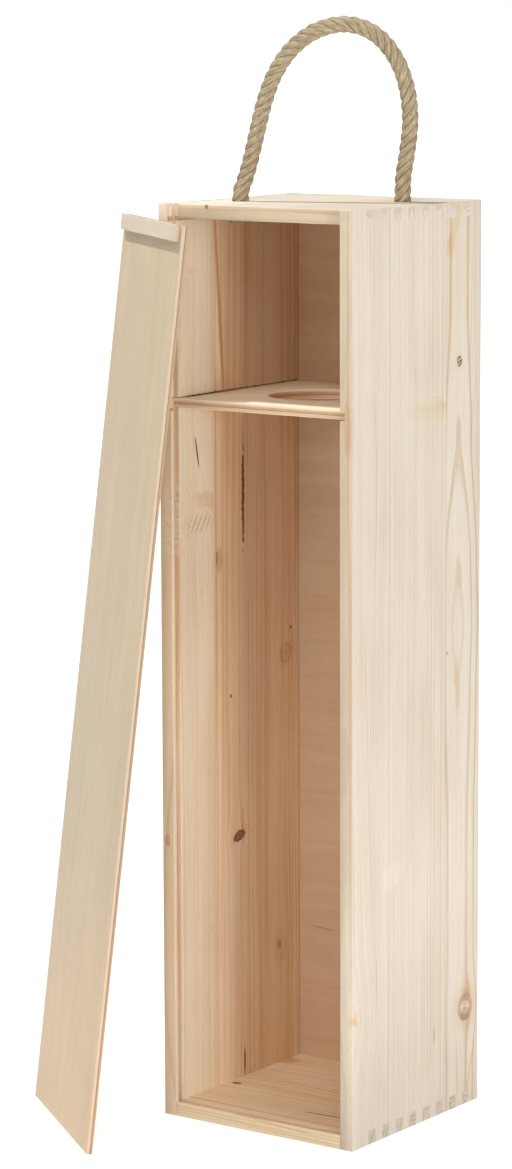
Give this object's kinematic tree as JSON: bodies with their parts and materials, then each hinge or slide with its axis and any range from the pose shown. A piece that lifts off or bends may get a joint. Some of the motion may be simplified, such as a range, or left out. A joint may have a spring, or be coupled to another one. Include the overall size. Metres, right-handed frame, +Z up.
{
  "type": "wooden wine box",
  "caption": "Tall finger-jointed wooden gift box for one wine bottle, with a sliding lid leaning on it, a notched-in neck shelf and a rope handle on top.",
  "frame": {"origin": "middle of the box's underside, on the surface it stands on", "axes": "+Z up along the box's height, -Y out of the open front, +X to the right as seen from the front"},
  "size_m": [0.1561, 0.1587, 0.4548],
  "materials": {
    "spruce": "planed and sanded, unfinished",
    "plywood": "sanded plywood, unfinished",
    "lid_plywood": "sanded plywood, unfinished",
    "batten": "planed, unfinished",
    "rope": "twisted natural fibre, slightly hairy"
  },
  "bodies": {
    "box": {"left_front_board": "spruce", "left_rear_board": "spruce", "right_front_board": "spruce", "right_rear_board": "spruce", "top_front_board": "spruce", "top_rear_board": "spruce", "bottom_front_board": "spruce", "bottom_rear_board": "spruce", "back_panel": "plywood", "rope_end_left": "rope", "rope_end_right": "rope"},
    "lid": {"lid_panel": "lid_plywood", "lid_batten": "batten"},
    "shelf": {"neck_shelf": "plywood"},
    "rope": {"rope_loop": "rope"}
  },
  "joints": [
    {"name": "lid_slide", "type": "slide", "parent": "box", "child": "lid", "axis": [0, 0, 1], "range_m": [0, 0.376]},
    {"name": "shelf_slide", "type": "slide", "parent": "box", "child": "shelf", "axis": [0, -1, 0], "range_m": [0, 0.016]},
    {"name": "rope_bend", "type": "hinge", "parent": "box", "child": "rope", "pos_m": [0, 0.0005, 0.3835], "axis": [0.8839, 0.4676, 0], "range_deg": [-80, 80], "stiffness_Nm_per_rad": 0.02}
  ]
}
